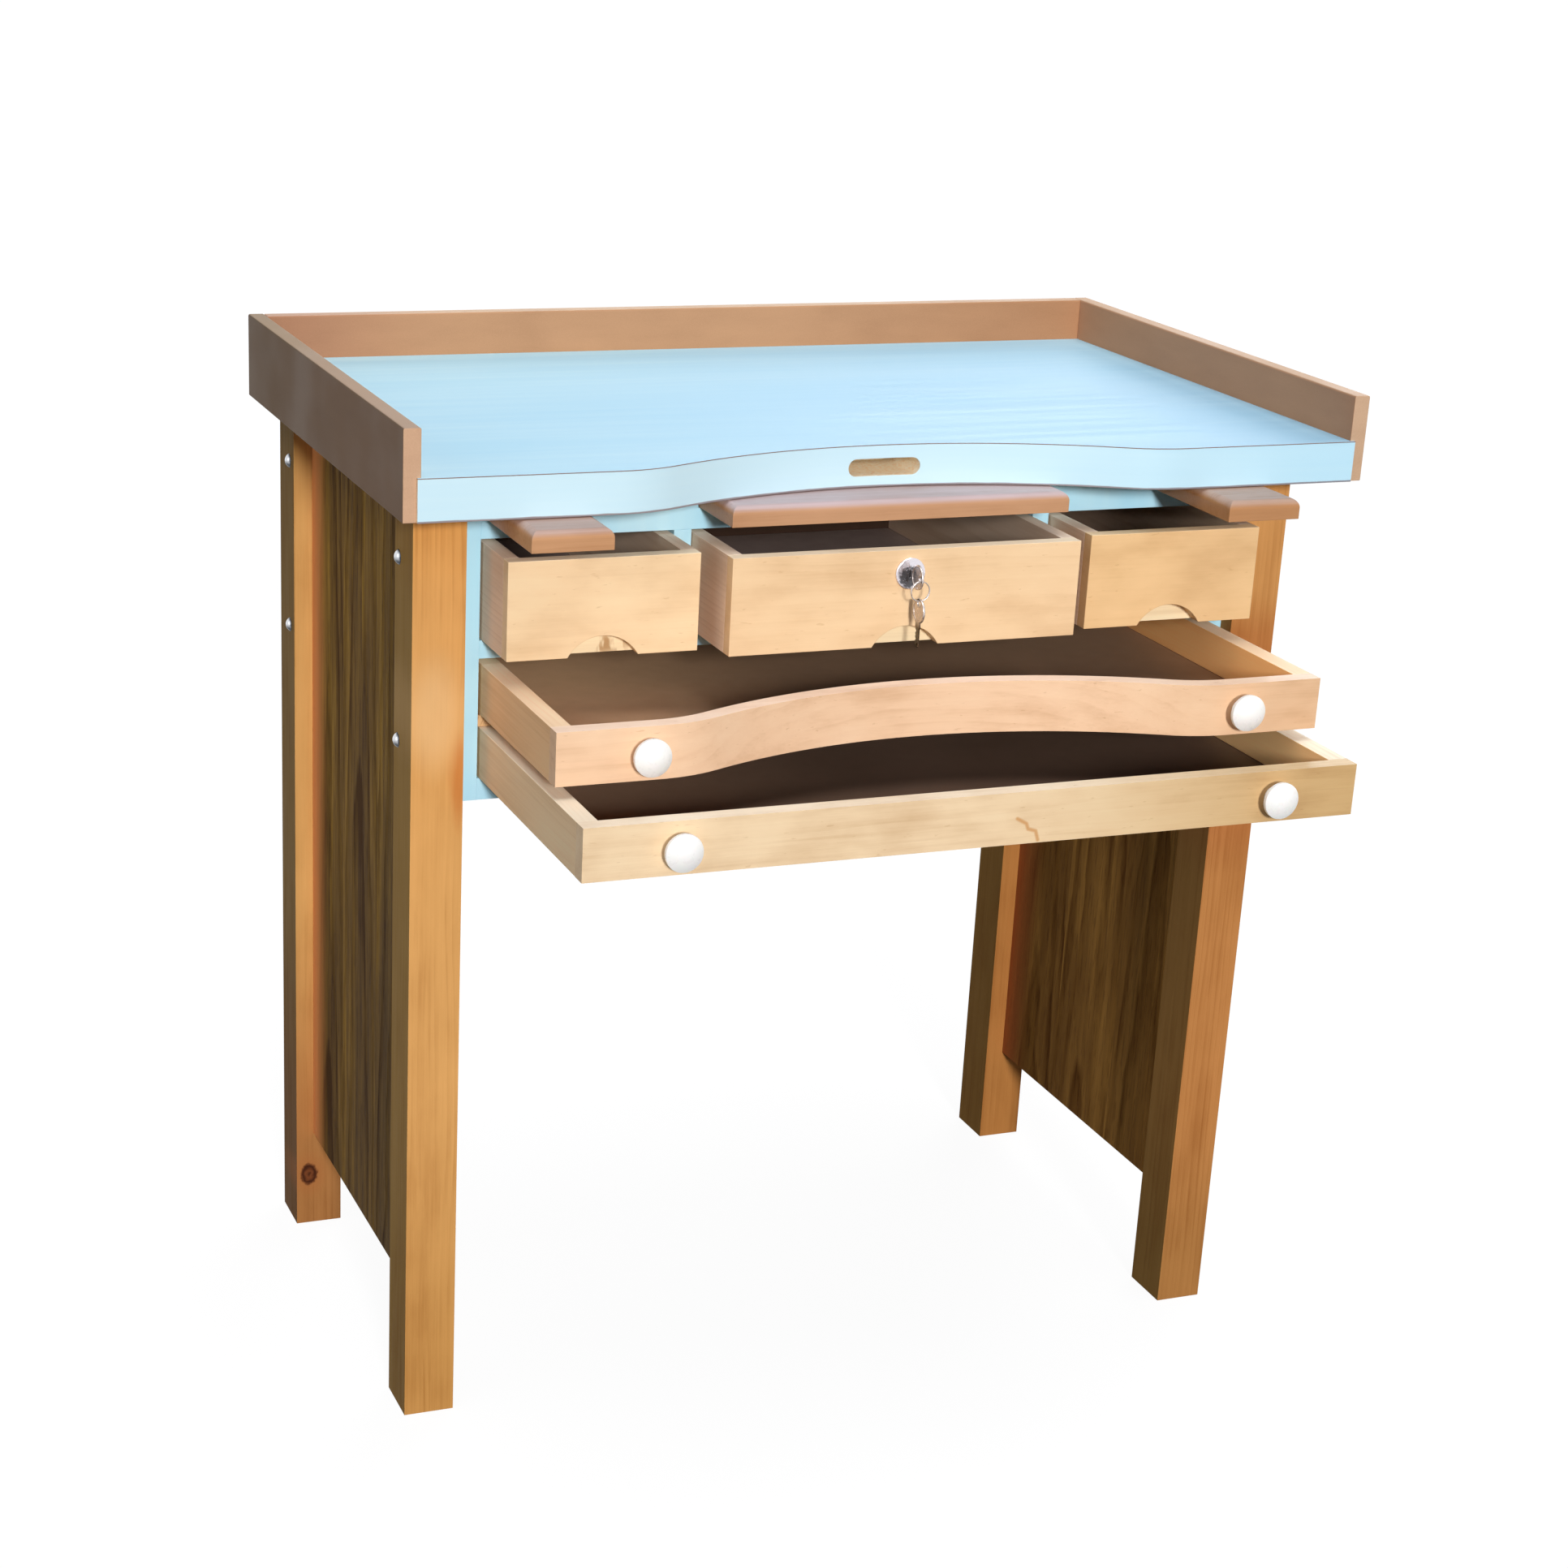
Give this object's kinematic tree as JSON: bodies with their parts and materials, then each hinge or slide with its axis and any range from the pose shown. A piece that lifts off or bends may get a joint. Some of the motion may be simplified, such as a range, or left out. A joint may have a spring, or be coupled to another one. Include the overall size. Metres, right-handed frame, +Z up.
{
  "type": "jewellers bench",
  "caption": "Wooden jeweller's bench with recessed blue worktop, raised surround, bench-pin slot, pull-out boards, lockable drawer row and sliding catch trays.",
  "frame": {"origin": "on the floor, in the middle of the bench's width and of its whole depth from the pulled tray's knobs to the back board", "axes": "+X to the sitter's right, +Y to the back of the bench, +Z up"},
  "size_m": [1, 0.8306, 1.043],
  "materials": {
    "leg_wood": "varnished softwood",
    "panel_veneer": "brown oak veneer, satin",
    "zinc_steel": "zinc plated",
    "worktop_board": "raw board edges",
    "blue_laminate": "pale blue laminate",
    "surround_board": "lacquered fibreboard",
    "carcass_board": "pale blue faced board",
    "hardboard": "dark brown hardboard",
    "drawer_wood": "varnished birch",
    "upper_tray_wood": "varnished beech",
    "lower_tray_wood": "varnished birch",
    "pull_out_wood": "varnished beech",
    "runner_wood": "planed beech",
    "chrome": "polished",
    "key_steel": "nickel plated",
    "knob_white": "glossy white"
  },
  "bodies": {
    "bench": {"leg_front_left": "leg_wood", "leg_front_right": "leg_wood", "leg_rear_left": "leg_wood", "leg_rear_right": "leg_wood", "end_panel_left": "panel_veneer", "end_panel_right": "panel_veneer", "frame_bolts": "zinc_steel", "bolt_inserts": "zinc_steel", "worktop_core": "worktop_board", "worktop_edge_band": "blue_laminate", "worktop_laminate": "blue_laminate", "surround_left": "surround_board", "surround_right": "surround_board", "surround_back": "surround_board", "carcass_sides": "carcass_board", "carcass_bottom": "carcass_board", "drawer_shelf": "carcass_board", "drawer_partitions": "carcass_board", "carcass_back": "hardboard", "front_rail": "carcass_board", "tray_runners": "runner_wood", "armrest_guides": "runner_wood", "centre_slide_guides": "runner_wood"},
    "left_armrest": {"left_armrest": "pull_out_wood"},
    "right_armrest": {"right_armrest": "pull_out_wood"},
    "centre_slide": {"centre_slide": "pull_out_wood"},
    "left_drawer": {"left_drawer_front": "drawer_wood", "left_drawer_inner_front": "drawer_wood", "left_drawer_sides": "drawer_wood", "left_drawer_back": "drawer_wood", "left_drawer_bottom": "hardboard"},
    "centre_drawer": {"centre_drawer_front": "drawer_wood", "centre_drawer_inner_front": "drawer_wood", "centre_drawer_sides": "drawer_wood", "centre_drawer_back": "drawer_wood", "centre_drawer_bottom": "hardboard", "lock_cylinder": "chrome", "lock_nut": "chrome"},
    "right_drawer": {"right_drawer_front": "drawer_wood", "right_drawer_inner_front": "drawer_wood", "right_drawer_sides": "drawer_wood", "right_drawer_back": "drawer_wood", "right_drawer_bottom": "hardboard"},
    "lock_plug": {"lock_plug": "chrome", "lock_cam": "chrome", "key": "key_steel", "key_ring": "key_steel"},
    "spare_key": {"spare_key": "key_steel"},
    "upper_tray": {"upper_tray_front": "upper_tray_wood", "upper_tray_sides": "upper_tray_wood", "upper_tray_back": "upper_tray_wood", "upper_tray_bottom": "hardboard", "upper_tray_knobs": "knob_white", "upper_tray_knob_screws": "zinc_steel"},
    "lower_tray": {"lower_tray_front": "lower_tray_wood", "lower_tray_sides": "lower_tray_wood", "lower_tray_back": "lower_tray_wood", "lower_tray_bottom": "hardboard", "lower_tray_knobs": "knob_white", "lower_tray_knob_screws": "zinc_steel"}
  },
  "joints": [
    {"name": "left_drawer_slide", "type": "slide", "parent": "bench", "child": "left_drawer", "axis": [0, -1, 0], "range_m": [-0.0785, 0.2415]},
    {"name": "centre_drawer_slide", "type": "slide", "parent": "bench", "child": "centre_drawer", "axis": [0, -1, 0], "range_m": [-0.1065, 0.2135]},
    {"name": "right_drawer_slide", "type": "slide", "parent": "bench", "child": "right_drawer", "axis": [0, -1, 0], "range_m": [-0.0885, 0.2315]},
    {"name": "upper_tray_slide", "type": "slide", "parent": "bench", "child": "upper_tray", "axis": [0, -1, 0], "range_m": [-0.227, 0.133]},
    {"name": "lower_tray_slide", "type": "slide", "parent": "bench", "child": "lower_tray", "axis": [0, -1, 0], "range_m": [-0.3055, 0.0545]},
    {"name": "left_armrest_slide", "type": "slide", "parent": "bench", "child": "left_armrest", "axis": [0, -1, 0], "range_m": [-0.123, 0.127]},
    {"name": "right_armrest_slide", "type": "slide", "parent": "bench", "child": "right_armrest", "axis": [0, -1, 0], "range_m": [-0.1345, 0.1155]},
    {"name": "centre_slide_slide", "type": "slide", "parent": "bench", "child": "centre_slide", "axis": [0, -1, 0], "range_m": [-0.064, 0.186]},
    {"name": "lock_turn", "type": "hinge", "parent": "centre_drawer", "child": "lock_plug", "pos_m": [0, -0.19675, 0.889], "axis": [0, -1, 0], "range_deg": [0, 90]},
    {"name": "spare_key_hang", "type": "hinge", "parent": "lock_plug", "child": "spare_key", "pos_m": [0, -0.21975, 0.87745], "axis": [0, -1, 0], "range_deg": [-90, 0]}
  ],
  "couplings": [
    {"joint": "spare_key_hang", "follows": "lock_turn", "ratio": -1}
  ]
}
